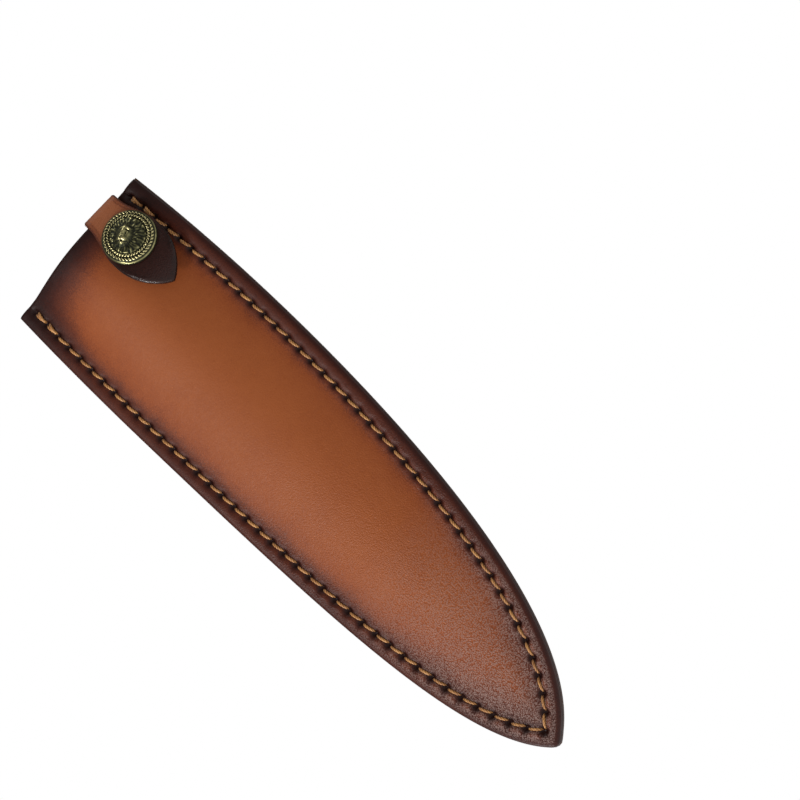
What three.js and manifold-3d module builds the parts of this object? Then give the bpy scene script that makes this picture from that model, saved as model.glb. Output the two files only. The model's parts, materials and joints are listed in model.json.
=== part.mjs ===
// Leather knife sheath: two stitched panels with a welt between them, a riveted belt loop on the
// back and a snap strap that closes over the mouth. Millimetres, +Z up, mouth at the top, tip down.
// The front faces -Y and the belt loop +Y. The model is drawn with the mouth line at z = 0 and
// moved at the end so that the origin is the middle of the space that the belt goes through.
import * as THREE from "three";
import { mergeVertices } from "three/addons/utils/BufferGeometryUtils.js";
import Module from "manifold-3d";

const wasm = await Module();
wasm.setup();

// ---- driving dimensions -------------------------------------------------------------------
const TIP = { x: -10, z: -231 }; // below the mouth line, off centre towards the spine's side
const MOUTH_HALF = 31; // half the width at the mouth
const BELLY_HALF = 33.7; // widest point on the strap's side
const SPINE_HALF = 32.6; // widest point on the other side
const WIDEST_DEPTH = 60; // depth of the widest point below the mouth
const PANEL = 1.8; // leather of the two panels
const WELT = 1.6; // leather spacer between the panels
const WELT_WIDTH = 7.5; // from the outer edge inwards
const SEAM_INSET = 5.5; // stitch line from the outer edge
const THREAD = 1; // thread diameter
const SEAM_START = 4; // first stitch below the mouth
const FLAT_BORDER = 7.9; // border of the front panel that lies flat on the welt
const MOUTH_BULGE = 7; // how far the front panel stands off the welt at the mouth
const BODY_BULGE = 3.2; // and further down
const BULGE_REACH = 45; // depth over which the first fades into the second
const DOME_CLOSES = 4; // the bulge ends where its span is this narrow
const FRONT_CUT = 0.8; // the front panel's mouth edge lies this far below the mouth line
const BACK_SCOOP = 1.2; // hollow of the back panel's mouth edge at its middle
const STRAP = 2; // leather of the loop and the strap
const REST_GAP = 0.3; // clearance where pieces rest on each other in the turned groups
const SKIN = 0.05; // clearance where pieces lie on flat leather

// Belt loop: half widths at its two ends, depth of its end and of its fold, and its outer leg.
const LOOP = { top: 9.6, bottom: 10.3, length: 102.5, foldDepth: 24, foldRadius: 5.75 };
const LEG = { slope: 10.2, straight: 45, gap: 0.1 }; // degrees, length, gap to the inner leg
const LOOP_RIVET_DEPTH = 93;
const NECK_HALF = 7; // half the snap strap's width over the mouth
const STRAP_X = 13.4; // centre of the snap strap at the back
const STRAP_DRIFT = 3.4; // and how much further out its front bend is
const STRAP_RIVET_DEPTH = 13.4;
const TAIL_LENGTH = 23.2; // end of the strap's tail below the mouth line
const TAIL_CORNER = 3.4;
const BRIDGE_BASE = -0.5; // underside of the strap where it crosses the mouth
const BEND_CLEARANCE = 1.5; // from a bend's axis to the end of the strap's stiff stretches
const FLAP_TURN = 21; // degrees that the flap is turned to lie on the bulging front
const FLAP_LEAN = 11; // degrees that the flap leans out over the snap
const FLAP_STAND = 0.8; // flap to front panel at the bend
const FLAP = { half: 10.2, flare: 17, straight: 25, length: 35.4, tuck: 2.8 };
const SNAP_DEPTH = 15.2; // snap centre below the front bend
const CAP_RADIUS = 9.5; // decorated snap cap
const LOOP_RIVET_RADIUS = 3.8;
const STRAP_RIVET_RADIUS = 3.6;
const RIVET_HOLE = 2.1; // radius of the hole through the leather

const ROWS = 44; // along the sheath
const DOME_COLUMNS = 12; // across the bulge of the front panel
const ROUND = 28; // sides of a small round piece

// ---- materials ----------------------------------------------------------------------------
const leather = (color, roughness) => new THREE.MeshStandardMaterial({ color, roughness, metalness: 0 });
const metal = (color) => new THREE.MeshStandardMaterial({ color, roughness: 0.35, metalness: 1 });
const PANEL_LEATHER = leather(0x8e4f2a, 0.5);
const EDGE_LEATHER = leather(0x3a1e16, 0.45);
const STRAP_LEATHER = leather(0x8c4d30, 0.6);
const THREAD_FIBRE = leather(0xc98a3a, 0.7);
const ANTIQUE_BRASS = metal(0x8a7a4a);
const PLAIN_BRASS = metal(0xa8965a);

// ---- solids -------------------------------------------------------------------------------
function toSolid(geometry) {
  const bare = geometry.index ? geometry.toNonIndexed() : geometry.clone();
  for (const name of Object.keys(bare.attributes)) if (name !== "position") bare.deleteAttribute(name);
  const merged = mergeVertices(bare, 1e-4);
  const triVerts = new Uint32Array(merged.index.array);
  return new wasm.Manifold(
    new wasm.Mesh({ numProp: 3, vertProperties: merged.attributes.position.array, triVerts }),
  );
}

function toGeometry(solid) {
  const mesh = solid.getMesh();
  const geometry = new THREE.BufferGeometry();
  geometry.setAttribute("position", new THREE.BufferAttribute(new Float32Array(mesh.vertProperties), 3));
  geometry.setIndex(new THREE.BufferAttribute(new Uint32Array(mesh.triVerts), 1));
  geometry.computeVertexNormals();
  return geometry;
}

function cut(geometry, ...cutters) {
  return toGeometry(cutters.reduce((left, cutter) => left.subtract(toSolid(cutter)), toSolid(geometry)));
}

const common = (a, b) => toGeometry(toSolid(a).intersect(toSolid(b)));

function moveVertices(geometry, place) {
  const position = geometry.attributes.position;
  for (let i = 0; i < position.count; i++) {
    position.setXYZ(i, ...place(position.getX(i), position.getY(i), position.getZ(i)));
  }
  return geometry;
}

// A shape drawn in x and z, made solid from y = low to y = high.
function slab(shape, low, high) {
  const depth = high - low;
  const plate = new THREE.ExtrudeGeometry(shape, { depth, bevelEnabled: false, curveSegments: 12 });
  return moveVertices(plate, (x, z, along) => [x, high - along, z]);
}

// A shape drawn in y and z, made solid from x = -half to x = half.
function strip(shape, half) {
  const bar = new THREE.ExtrudeGeometry(shape, { depth: 2 * half, bevelEnabled: false });
  return moveVertices(bar, (y, z, depth) => [depth - half, y, z]);
}

// A closed ribbon of constant thickness along a centre line of (y, z) points.
function ribbon(points, thickness) {
  const sides = [[], []];
  points.forEach((point, i) => {
    const before = points[Math.max(i - 1, 0)];
    const after = points[Math.min(i + 1, points.length - 1)];
    const along = after.clone().sub(before).normalize();
    const across = new THREE.Vector2(-along.y, along.x).multiplyScalar(thickness / 2);
    sides[0].push(point.clone().add(across));
    sides[1].unshift(point.clone().sub(across));
  });
  return new THREE.Shape([...sides[0], ...sides[1]]);
}

// A round solid about the y axis from (radius, y) pairs that run from low y to high y.
const turned = (pairs, sides = ROUND) =>
  new THREE.LatheGeometry(pairs.map(([radius, y]) => new THREE.Vector2(radius, y)), sides);

// A round cutter about the y axis through (x, z).
const bore = (radius, low, high, x = 0, z = 0) =>
  new THREE.CylinderGeometry(radius, radius, high - low, ROUND).translate(x, (low + high) / 2, z);

const piece = (name, geometry, material) => {
  const mesh = new THREE.Mesh(geometry, material);
  mesh.name = name;
  return mesh;
};

// ---- outline of the sheath ----------------------------------------------------------------
const point2 = (x, z) => new THREE.Vector2(x, z);

// One side from the mouth to the tip: down to the widest point, down to the shoulder of the tip,
// and round to the tip itself.
function sideCurve(mouthX, widestX, [firstPull, secondPull, shoulder], tipPull) {
  const widest = point2(widestX, -WIDEST_DEPTH);
  const nearMouth = [point2((mouthX + widestX) / 2, -14), point2(widestX, -36)];
  const curves = [
    new THREE.CubicBezierCurve(point2(mouthX, 0), ...nearMouth, widest),
    new THREE.CubicBezierCurve(widest, firstPull, secondPull, shoulder),
    new THREE.QuadraticBezierCurve(shoulder, tipPull, point2(TIP.x, TIP.z)),
  ];
  return curves.flatMap((curve) => curve.getPoints(80));
}

const belly = sideCurve(
  MOUTH_HALF,
  BELLY_HALF,
  [point2(BELLY_HALF, -110.3), point2(28.9, -204), point2(-5.5, -228.2)],
  point2(-8.8, -230.7),
);
const spine = sideCurve(
  -MOUTH_HALF,
  -SPINE_HALF,
  [point2(-SPINE_HALF, -145.4), point2(-32.3, -206), point2(-12.9, -228.8)],
  point2(-11.4, -230.7),
);

// x of one side at height z.
function edgeX(side, z) {
  const found = side.findIndex((point) => point.y < z);
  const next = found < 0 ? side.length - 1 : Math.max(1, found);
  const [a, b] = [side[next - 1], side[next]];
  return a.x + ((b.x - a.x) * (z - a.y)) / (b.y - a.y);
}

// x of a line that runs at a fixed distance inside one side, never past the middle.
function insetX(side, z, distance, share = 0.5) {
  const edge = edgeX(side, z);
  const slope = (edgeX(side, z + 1) - edgeX(side, Math.max(z - 1, TIP.z))) / 2;
  const room = share * (edgeX(belly, z) - edgeX(spine, z));
  const shift = Math.min(distance * Math.hypot(1, slope), room);
  return side === belly ? edge - shift : edge + shift;
}

// Depths of the rows, closer together towards the tip.
const LAST_ROW = TIP.z + 0.2;
const rowZ = (row, top) => -top + (LAST_ROW + top) * Math.sin(((row / ROWS) * Math.PI) / 2);
const rowsFrom = (top) => Array.from({ length: ROWS + 1 }, (_, row) => rowZ(row, top));

// ---- panels and welt ----------------------------------------------------------------------
const FACE = WELT / 2 + PANEL; // flat outer faces lie at y = -FACE and y = +FACE

// The stretch between the flat borders at height z.
const domeSpan = (z) => [spine, belly].map((side) => insetX(side, z, FLAT_BORDER, 0.47));

function bulge(across, z) {
  const [low, high] = domeSpan(z);
  const widest = BELLY_HALF + SPINE_HALF - 2 * FLAT_BORDER;
  const fullness = Math.min(Math.max((high - low - DOME_CLOSES) / (widest - DOME_CLOSES), 0), 1);
  const height = BODY_BULGE + (MOUTH_BULGE - BODY_BULGE) * Math.exp(-((z / BULGE_REACH) ** 2));
  return height * fullness * Math.max(1 - across ** 2, 0) ** 1.4;
}

function bulgeAt(x, z) {
  const [low, high] = domeSpan(z);
  const across = (2 * x - low - high) / (high - low);
  return Math.abs(across) < 1 ? bulge(across, z) : 0;
}

function frontPanel() {
  const columns = DOME_COLUMNS + 2;
  const sheet = new THREE.BoxGeometry(1, 1, 1, columns, 1, ROWS);
  return moveVertices(sheet, (u, v, w) => {
    const z = rowZ(Math.round((0.5 - w) * ROWS), FRONT_CUT);
    const column = Math.round((u + 0.5) * columns);
    const [low, high] = domeSpan(z);
    const share = (column - 1) / DOME_COLUMNS;
    const ends = { 0: edgeX(spine, z), [columns]: edgeX(belly, z) };
    const x = ends[column] ?? low + (high - low) * share;
    const out = column in ends ? 0 : bulge(2 * share - 1, z);
    return [x, -(v < 0 ? FACE : WELT / 2) - out, z];
  });
}

function outline(top, mouthPoints) {
  const rows = rowsFrom(top);
  const right = rows.map((z) => point2(edgeX(belly, z), z));
  const left = rows.map((z) => point2(edgeX(spine, z), z)).reverse();
  return new THREE.Shape([...right, ...left, ...mouthPoints]);
}

function scoopedMouth() {
  const steps = 10;
  return Array.from({ length: steps - 1 }, (_, i) => {
    const share = (2 * (i + 1)) / steps - 1;
    return point2(share * MOUTH_HALF, -BACK_SCOOP * (1 - share ** 2));
  });
}

function weltShape() {
  const rows = rowsFrom(FRONT_CUT);
  const open = rows.filter((z) => insetX(belly, z, WELT_WIDTH) - insetX(spine, z, WELT_WIDTH) > 1);
  const shape = [
    ...rows.map((z) => point2(edgeX(belly, z), z)),
    ...rows.map((z) => point2(edgeX(spine, z), z)).reverse(),
    ...open.map((z) => point2(insetX(spine, z, WELT_WIDTH), z)),
    ...open.map((z) => point2(insetX(belly, z, WELT_WIDTH), z)).reverse(),
  ];
  return new THREE.Shape(shape);
}

// ---- seam thread --------------------------------------------------------------------------
function seamThread(y) {
  const rows = rowsFrom(SEAM_START).filter(
    (z) => insetX(belly, z, SEAM_INSET) - insetX(spine, z, SEAM_INSET) > 2 * THREAD,
  );
  const line = [
    ...rows.map((z) => new THREE.Vector3(insetX(belly, z, SEAM_INSET), y, z)),
    ...rows.map((z) => new THREE.Vector3(insetX(spine, z, SEAM_INSET), y, z)).reverse(),
  ];
  const round = new THREE.Shape().absarc(0, 0, THREAD / 2, 0, 2 * Math.PI);
  const extrudePath = new THREE.CatmullRomCurve3(line, false, "centripetal");
  return new THREE.ExtrudeGeometry(round, { steps: 84, curveSegments: 4, extrudePath });
}

// ---- rivets: a domed cap with a short sleeve, and a post with a flat foot --------------------
function rivetCap(radius, seat, depth) {
  const [sleeve, hole] = [1.9, 1.45];
  return turned([
    [hole, seat - depth],
    [sleeve, seat - depth],
    [sleeve, seat + SKIN],
    [radius - 0.3, seat + SKIN],
    [radius, seat + 0.35],
    [radius * 0.93, seat + 0.85],
    [radius * 0.6, seat + 1.15],
    [0, seat + 1.25],
    [0, seat + 0.4],
    [hole, seat + 0.4],
    [hole, seat - depth],
  ]);
}

function rivetPost(radius, foot, tip) {
  return turned([
    [0, foot - 0.6],
    [radius * 0.9, foot - 0.6],
    [radius, foot - 0.35],
    [radius, foot - SKIN],
    [1.3, foot - SKIN],
    [1.3, tip],
    [0, tip],
  ]);
}

// ---- belt loop ----------------------------------------------------------------------------
function beltLoop() {
  const inner = FACE + STRAP / 2;
  const outer = inner + STRAP + LEG.gap;
  const lean = THREE.MathUtils.degToRad(LEG.slope);
  const centre = point2(inner + LOOP.foldRadius, -LOOP.foldDepth - LOOP.foldRadius - STRAP / 2);
  const fold = new THREE.EllipseCurve(
    centre.x, centre.y, LOOP.foldRadius, LOOP.foldRadius, Math.PI, -lean, true,
  ).getPoints(14);
  const leave = fold.at(-1);
  const down = point2(-Math.sin(lean), -Math.cos(lean));
  const land = leave.clone().addScaledVector(down, LEG.straight);
  const meet = LOOP_RIVET_DEPTH - 5; // the legs lie on each other from here down
  const bend = new THREE.CubicBezierCurve(
    land, land.clone().addScaledVector(down, 4), point2(outer, 4 - meet), point2(outer, -meet),
  ).getPoints(6);
  const line = [point2(inner, -LOOP.length), point2(inner, centre.y - 1), ...fold, ...bend];
  line.push(point2(outer, -LOOP.length));
  const leg = strip(ribbon(line, STRAP), LOOP.bottom + 1);
  const plan = new THREE.Shape();
  const end = -LOOP.length;
  plan.moveTo(-LOOP.top, 0);
  plan.lineTo(-LOOP.bottom, end + 8);
  plan.bezierCurveTo(-LOOP.bottom, end + 3, -6, end, 0, end);
  plan.bezierCurveTo(6, end, LOOP.bottom, end + 3, LOOP.bottom, end + 8);
  plan.lineTo(LOOP.top, 0);
  const trimmed = common(leg, slab(plan, 0, 30));
  return cut(trimmed, bore(RIVET_HOLE, 0, 12, 0, -LOOP_RIVET_DEPTH));
}

// ---- snap strap ---------------------------------------------------------------------------
const BEND_Z = BRIDGE_BASE + STRAP / 2; // height of both bends' axes
const REAR_BEND_Y = FACE + STRAP / 2;
const FRONT_BEND_X = STRAP_X + STRAP_DRIFT;
const FRONT_BEND_Y = -FACE - bulgeAt(FRONT_BEND_X, -FRONT_CUT) - FLAP_STAND - STRAP / 2;

function strapTail() {
  const plan = new THREE.Shape();
  const [top, end, c] = [BEND_Z - BEND_CLEARANCE, -TAIL_LENGTH, TAIL_CORNER];
  plan.moveTo(-NECK_HALF, top);
  plan.lineTo(-NECK_HALF, end + c);
  plan.quadraticCurveTo(-NECK_HALF, end, -NECK_HALF + c, end);
  plan.lineTo(NECK_HALF - c, end);
  plan.quadraticCurveTo(NECK_HALF, end, NECK_HALF, end + c);
  plan.lineTo(NECK_HALF, top);
  return cut(slab(plan, FACE, FACE + STRAP), bore(RIVET_HOLE, 0, 9, 0, -STRAP_RIVET_DEPTH));
}

// The strap over the mouth: square to the sheath at the rear bend, turned at the front bend.
function strapBridge() {
  const turn = THREE.MathUtils.degToRad(FLAP_TURN);
  const reach = STRAP / 2 - 0.1;
  const across = point2(Math.cos(turn), Math.sin(turn)).multiplyScalar(NECK_HALF);
  const front = point2(STRAP_DRIFT + Math.sin(turn) * reach, FRONT_BEND_Y - Math.cos(turn) * reach);
  const plan = new THREE.Shape([
    point2(-NECK_HALF, REAR_BEND_Y + reach),
    front.clone().sub(across),
    front.clone().add(across),
    point2(NECK_HALF, REAR_BEND_Y + reach),
  ]);
  const plate = new THREE.ExtrudeGeometry(plan, { depth: STRAP, bevelEnabled: false });
  return plate.translate(0, 0, BRIDGE_BASE);
}

// Drawn about the front bend: the plate's middle is y = 0, its outer face looks along -y.
function strapFlap() {
  const start = -BEND_CLEARANCE;
  const line = [point2(0, start), point2(0, -FLAP.straight)];
  const tuck = new THREE.QuadraticBezierCurve(
    point2(0, -FLAP.straight), point2(0, -31), point2(FLAP.tuck, -FLAP.length - 1),
  ).getPoints(5);
  const leaf = strip(ribbon([...line, ...tuck.slice(1)], STRAP), FLAP.half + 1);
  const plan = new THREE.Shape();
  plan.moveTo(-NECK_HALF, start + 1);
  plan.bezierCurveTo(-NECK_HALF, -6, -FLAP.half, -9, -FLAP.half, -FLAP.flare);
  plan.bezierCurveTo(-FLAP.half, -27, -7.5, -35, 0, -FLAP.length);
  plan.bezierCurveTo(7.5, -35, FLAP.half, -27, FLAP.half, -FLAP.flare);
  plan.bezierCurveTo(FLAP.half, -9, NECK_HALF, -6, NECK_HALF, start + 1);
  return cut(common(leaf, slab(plan, -5, 12)), bore(2, -3, 3, 0, -SNAP_DEPTH));
}

// ---- snap: every piece is round about the snap's axis, y measured from the flap's middle ------
const INNER = STRAP / 2; // flap's inner face
const OUTER = -STRAP / 2 - REST_GAP; // underside of the decorated cap
const STUD_SEAT = INNER + 3.9; // outer face of the spot that the stud's flange sits on
const POST_SEAT = STUD_SEAT + 1.9; // and of the spot inside the sheath

function snapCap() {
  const profile = [
    [0, OUTER - 4.3],
    [3, OUTER - 3.9],
    [5.6, OUTER - 2.7],
    [6.5, OUTER - 2.1],
    [7.1, OUTER - 2.6],
    [8.3, OUTER - 2.5],
    [8.9, OUTER - 1.5],
    [9.1, OUTER - 0.9],
    [CAP_RADIUS, OUTER - 0.7],
    [CAP_RADIUS, OUTER],
    [1.8, OUTER],
    [1.8, OUTER - 1.6],
    [0, OUTER - 1.6],
  ];
  return turned(profile, 48);
}

const snapCapPost = () =>
  turned([
    [0, OUTER - 1.3],
    [1.6, OUTER - 1.3],
    [1.6, INNER + 0.95],
    [2.3, INNER + 0.95],
    [2.3, INNER + 1.15],
    [0, INNER + 1.15],
  ]);

const snapSocket = () =>
  turned([
    [1.8, INNER + REST_GAP],
    [4.6, INNER + REST_GAP],
    [5, INNER + 0.6],
    [5, INNER + 1.9],
    [4.7, INNER + 2.2],
    [3.5, INNER + 2.2],
    [3.5, INNER + 2.1],
    [4.1, INNER + 2.05],
    [4.1, INNER + 1.4],
    [3.5, INNER + 1.35],
    [3.5, INNER + 0.85],
    [1.8, INNER + 0.85],
    [1.8, INNER + REST_GAP],
  ]);

function snapSpring() {
  const wire = 0.22;
  const gap = 0.35; // radians left open in the ring
  const section = new THREE.Shape().absarc(0, 0, wire, 0, 2 * Math.PI);
  const count = 25;
  const ring = Array.from({ length: count }, (_, i) => {
    const angle = gap + ((2 * Math.PI - 2 * gap) * i) / (count - 1);
    return new THREE.Vector3(3.68 * Math.cos(angle), INNER + 1.73, 3.68 * Math.sin(angle));
  });
  const extrudePath = new THREE.CatmullRomCurve3(ring);
  return new THREE.ExtrudeGeometry(section, { steps: 36, curveSegments: 3, extrudePath });
}

const snapStud = () =>
  turned([
    [0, INNER + 1.3],
    [1.7, INNER + 1.3],
    [2.4, INNER + 1.6],
    [2.4, INNER + 1.95],
    [2.1, INNER + 2.3],
    [2.1, STUD_SEAT - 0.55],
    [4.2, STUD_SEAT - 0.45],
    [4.4, STUD_SEAT - SKIN],
    [1.3, STUD_SEAT - SKIN],
    [1.3, INNER + 1.8],
    [0, INNER + 1.8],
  ]);

const snapStudPost = () =>
  turned([
    [0, INNER + 2.1],
    [1.1, INNER + 2.1],
    [1.1, POST_SEAT + SKIN],
    [4, POST_SEAT + SKIN],
    [4.1, POST_SEAT + 0.4],
    [0, POST_SEAT + 0.6],
  ]);

// ---- assembly -----------------------------------------------------------------------------
const sheath = new THREE.Group();
const strapFrame = new THREE.Group(); // centre line of the snap strap
strapFrame.position.x = STRAP_X;
const turnFrame = new THREE.Group(); // front bend, turned with the bulging front
turnFrame.position.set(STRAP_DRIFT, FRONT_BEND_Y, BEND_Z);
turnFrame.rotation.z = THREE.MathUtils.degToRad(FLAP_TURN);
const flapFrame = new THREE.Group(); // leaning out over the snap
flapFrame.rotation.x = -THREE.MathUtils.degToRad(FLAP_LEAN);
const snapFrame = new THREE.Group(); // snap axis
snapFrame.position.z = -SNAP_DEPTH;
sheath.add(strapFrame);
strapFrame.add(turnFrame);
turnFrame.add(flapFrame);
flapFrame.add(snapFrame);
sheath.updateMatrixWorld(true);

const inSheath = (geometry) => geometry.applyMatrix4(snapFrame.matrixWorld);
const seats = [
  inSheath(bore(5.3, -2, STUD_SEAT)),
  inSheath(bore(1.5, 0, POST_SEAT + 1)),
  inSheath(bore(4.5, POST_SEAT, POST_SEAT + 6)),
];
const rivetHoles = [
  bore(RIVET_HOLE, -1, 6, 0, -LOOP_RIVET_DEPTH),
  bore(RIVET_HOLE, -1, 6, STRAP_X, -STRAP_RIVET_DEPTH),
];

sheath.add(
  piece("front_panel", cut(frontPanel(), ...seats), PANEL_LEATHER),
  piece("back_panel", cut(slab(outline(0, scoopedMouth()), WELT / 2, FACE), ...rivetHoles), PANEL_LEATHER),
  piece("welt", slab(weltShape(), -WELT / 2, WELT / 2), EDGE_LEATHER),
  piece("needle_thread", seamThread(-FACE - THREAD / 2 - SKIN), THREAD_FIBRE),
  piece("bobbin_thread", seamThread(FACE + THREAD / 2 + SKIN), THREAD_FIBRE),
  piece("belt_loop", beltLoop(), STRAP_LEATHER),
);

const loopRivet = new THREE.Group();
loopRivet.position.z = -LOOP_RIVET_DEPTH;
const loopSeat = FACE + 2 * STRAP + LEG.gap;
const strapSeat = FACE + STRAP;
loopRivet.add(
  piece("loop_rivet_cap", rivetCap(LOOP_RIVET_RADIUS, loopSeat, 3.2), PLAIN_BRASS),
  piece("loop_rivet_post", rivetPost(LOOP_RIVET_RADIUS, WELT / 2, loopSeat + 0.2), PLAIN_BRASS),
);
const strapRivet = new THREE.Group();
strapRivet.position.z = -STRAP_RIVET_DEPTH;
strapRivet.add(
  piece("strap_rivet_cap", rivetCap(STRAP_RIVET_RADIUS, strapSeat, 2), PLAIN_BRASS),
  piece("strap_rivet_post", rivetPost(STRAP_RIVET_RADIUS, WELT / 2, strapSeat + 0.2), PLAIN_BRASS),
);
sheath.add(loopRivet);
strapFrame.add(
  piece("strap_tail", strapTail(), STRAP_LEATHER),
  piece("strap_bridge", strapBridge(), STRAP_LEATHER),
  strapRivet,
);
flapFrame.add(piece("strap_flap", strapFlap(), STRAP_LEATHER));
snapFrame.add(
  piece("snap_cap", snapCap(), ANTIQUE_BRASS),
  piece("snap_cap_post", snapCapPost(), PLAIN_BRASS),
  piece("snap_socket", snapSocket(), PLAIN_BRASS),
  piece("snap_spring", snapSpring(), PLAIN_BRASS),
  piece("snap_stud", snapStud(), PLAIN_BRASS),
  piece("snap_stud_post", snapStudPost(), PLAIN_BRASS),
);

// The origin is the middle of the space for the belt.
const BELT = { y: 8, z: -45 };
sheath.position.set(0, -BELT.y, -BELT.z);
const part = new THREE.Group();
part.add(sheath);

export default part;
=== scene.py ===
import json
import math
import bpy
import numpy as np
from mathutils import Matrix, Vector


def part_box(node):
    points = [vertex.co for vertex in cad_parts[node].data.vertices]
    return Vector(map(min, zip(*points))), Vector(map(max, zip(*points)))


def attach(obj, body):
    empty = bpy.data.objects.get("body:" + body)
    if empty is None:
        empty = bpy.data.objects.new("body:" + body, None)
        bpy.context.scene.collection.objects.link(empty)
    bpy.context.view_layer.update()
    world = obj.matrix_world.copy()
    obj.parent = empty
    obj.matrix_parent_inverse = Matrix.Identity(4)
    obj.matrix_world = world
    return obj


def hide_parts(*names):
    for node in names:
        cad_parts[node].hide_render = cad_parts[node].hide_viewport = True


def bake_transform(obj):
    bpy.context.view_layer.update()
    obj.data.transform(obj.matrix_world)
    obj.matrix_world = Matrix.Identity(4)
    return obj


# Looks of the leather blade sheath. Shapes are drawn in millimetres in the CAD source's own frame:
# z = 0 at the mouth line, y = 0 in the middle of the welt, the front towards -y.
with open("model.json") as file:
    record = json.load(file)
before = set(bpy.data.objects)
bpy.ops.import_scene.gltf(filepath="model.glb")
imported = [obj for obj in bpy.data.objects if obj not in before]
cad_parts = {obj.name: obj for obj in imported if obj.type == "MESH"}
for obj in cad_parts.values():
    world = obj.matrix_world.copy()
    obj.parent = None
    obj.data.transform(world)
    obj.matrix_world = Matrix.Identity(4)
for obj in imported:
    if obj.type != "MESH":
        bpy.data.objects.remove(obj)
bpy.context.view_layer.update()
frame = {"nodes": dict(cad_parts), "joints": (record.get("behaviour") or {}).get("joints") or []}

# ---- driving dimensions ----
PANEL = 1.8  # leather of the two panels
WELT = 1.6  # spacer between them
FACE = WELT / 2 + PANEL
WELT_WIDTH = 7.5
SEAM_INSET = 5.5
FLAT_BORDER = 7.9  # of the front panel, outside its bulge
MOUTH_BULGE = 7.0
BODY_BULGE = 3.2
BULGE_REACH = 45.0
FULL_SPAN = 50.5  # width of the bulge where it is full
BACK_SCOOP = 1.2
EDGE_ROUND = 1.5  # rounding of the panels' burnished outer edge
MOUTH_ROUND = 0.8
THINNEST = 0.15  # the leather gets at its rims
CLEARANCE = 0.02  # between pieces that lie on each other

STITCH = 5.7  # mean length of a stitch
STITCH_GROWTH = 0.14  # share by which stitches lengthen towards the tip
FIRST_STITCH = 3.2  # below the mouth edge
NEEDLE_RADIUS = 0.48
BOBBIN_RADIUS = 0.42

STRAP = 2.0
STRAP_ROUND = 0.85
STRAP_COLUMNS = 45  # of vertices across a strap
NECK_HALF = 7.0
BEND_RADIUS = 2.3  # of the strap's middle, where it turns over the mouth
TAIL_LENGTH = 23.2
TAIL_CORNER = 3.4
FLAP_HALF = 10.2
FLAP_FLARE = 18.0  # below the front bend, where the flap is widest
FLAP_LENGTH = 35.6
FLAP_LEAN = math.radians(11)
FLAP_TUCK = 3.8  # of its end towards the sheath
SNAP_DEPTH = 15.2  # below the front bend
STUD_SEAT = 4.9  # from the flap's middle to the flat spot that the stud sits on
STUD_FLAT = 6.3  # radius of that spot
TIP_ROUND = 0.9  # extra rounding at the flap's end

LOOP_TOP = 9.6  # half width at the fold
LOOP_END = 10.3  # and at the riveted end
LOOP_LENGTH = 102.5
LOOP_FOLD = 5.75
LOOP_FOLD_DEPTH = 24.0
LOOP_SLOPE = math.radians(10.2)
LOOP_STRAIGHT = 45.0
LOOP_RIVET_DEPTH = 93.0
LOOP_CORNER = 8.0  # length of its rounded end
LEG_GAP = 0.1  # between its two legs where they are riveted
STRAP_RIVET_DEPTH = 13.4
MOUTH_DROP = 0.4  # of the front panel's edge, below the mouth line
BACK_HALF = 31.0  # half the back's width at its scooped mouth edge

CAP_SEAT = -STRAP / 2 - CLEARANCE
CAP_RADIUS = 9.5
CAP_RIM = 9.12  # where its top rolls over into the rim
CAP_SHOULDER = 8.75
LION_RADIUS = 6.45
LION_DEPTH = 0.7  # share of the relief's own height
LION_TURN = math.radians(50)  # of the head, from the flap's own direction
ROPES = ((7.05, 2.4, 0.9), (8.15, -2.4, 0.8))  # radius, slant and height of each rope ring
ROPE_HALF = 0.55
ROPE_BEADS = 44

# ---- frame ----
MM = 0.001
welt_low, welt_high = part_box("welt")
MOUTH_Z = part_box("back_panel")[1].z
ORIGIN = np.array([0.0, (welt_low.y + welt_high.y) / 2, MOUTH_Z])
JOINTS = {joint["name"]: joint for joint in frame["joints"]}


def drawn(point):
    """A point of the frame, in metres, in the drawn frame's millimetres."""
    return (np.array(point, float) - ORIGIN) / MM


REAR_BEND = drawn(JOINTS["strap_lift"]["pos_m"])
FRONT_BEND = drawn(JOINTS["flap_open"]["pos_m"])
X, Y, Z = np.eye(3)
FLAP_X = -np.array(JOINTS["flap_open"]["axis"], float)
FLAP_DOWN = np.array([
    FLAP_X[1] * math.sin(FLAP_LEAN), -FLAP_X[0] * math.sin(FLAP_LEAN), -math.cos(FLAP_LEAN),
])
FLAP_IN = np.cross(FLAP_X, FLAP_DOWN)
BRIDGE = (FRONT_BEND - REAR_BEND) / np.linalg.norm(FRONT_BEND - REAR_BEND)
SNAP = FRONT_BEND + SNAP_DEPTH * FLAP_DOWN


# ---- mesh helpers ----
def grid_faces(rows, cols, start=0, wrap=False):
    """Quads between the vertices of a grid; wrap joins each row's last vertex to its first."""
    i, j = np.meshgrid(np.arange(rows - 1), np.arange(cols if wrap else cols - 1), indexing="ij")
    here = start + i * cols + j
    beside = start + i * cols + (j + 1) % cols
    return np.stack([here, beside, beside + cols, here + cols], -1).reshape(-1, 4)


def volume(verts, faces):
    """Six times the signed volume of a closed mesh of quads and fans."""
    total = 0.0
    for face in faces:
        if isinstance(face, np.ndarray) and face.ndim == 2:
            for k in (1, 2):
                a, b, c = verts[face[:, 0]], verts[face[:, k]], verts[face[:, k + 1]]
                total += np.einsum("ij,ij->", a, np.cross(b, c))
        else:
            corners = verts[list(face)]
            for k in range(1, len(corners) - 1):
                total += np.dot(corners[0], np.cross(corners[k], corners[k + 1]))
    return total


def add_object(name, data):
    made = bpy.data.objects.new(name, data)
    bpy.context.scene.collection.objects.link(made)
    return made


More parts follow.
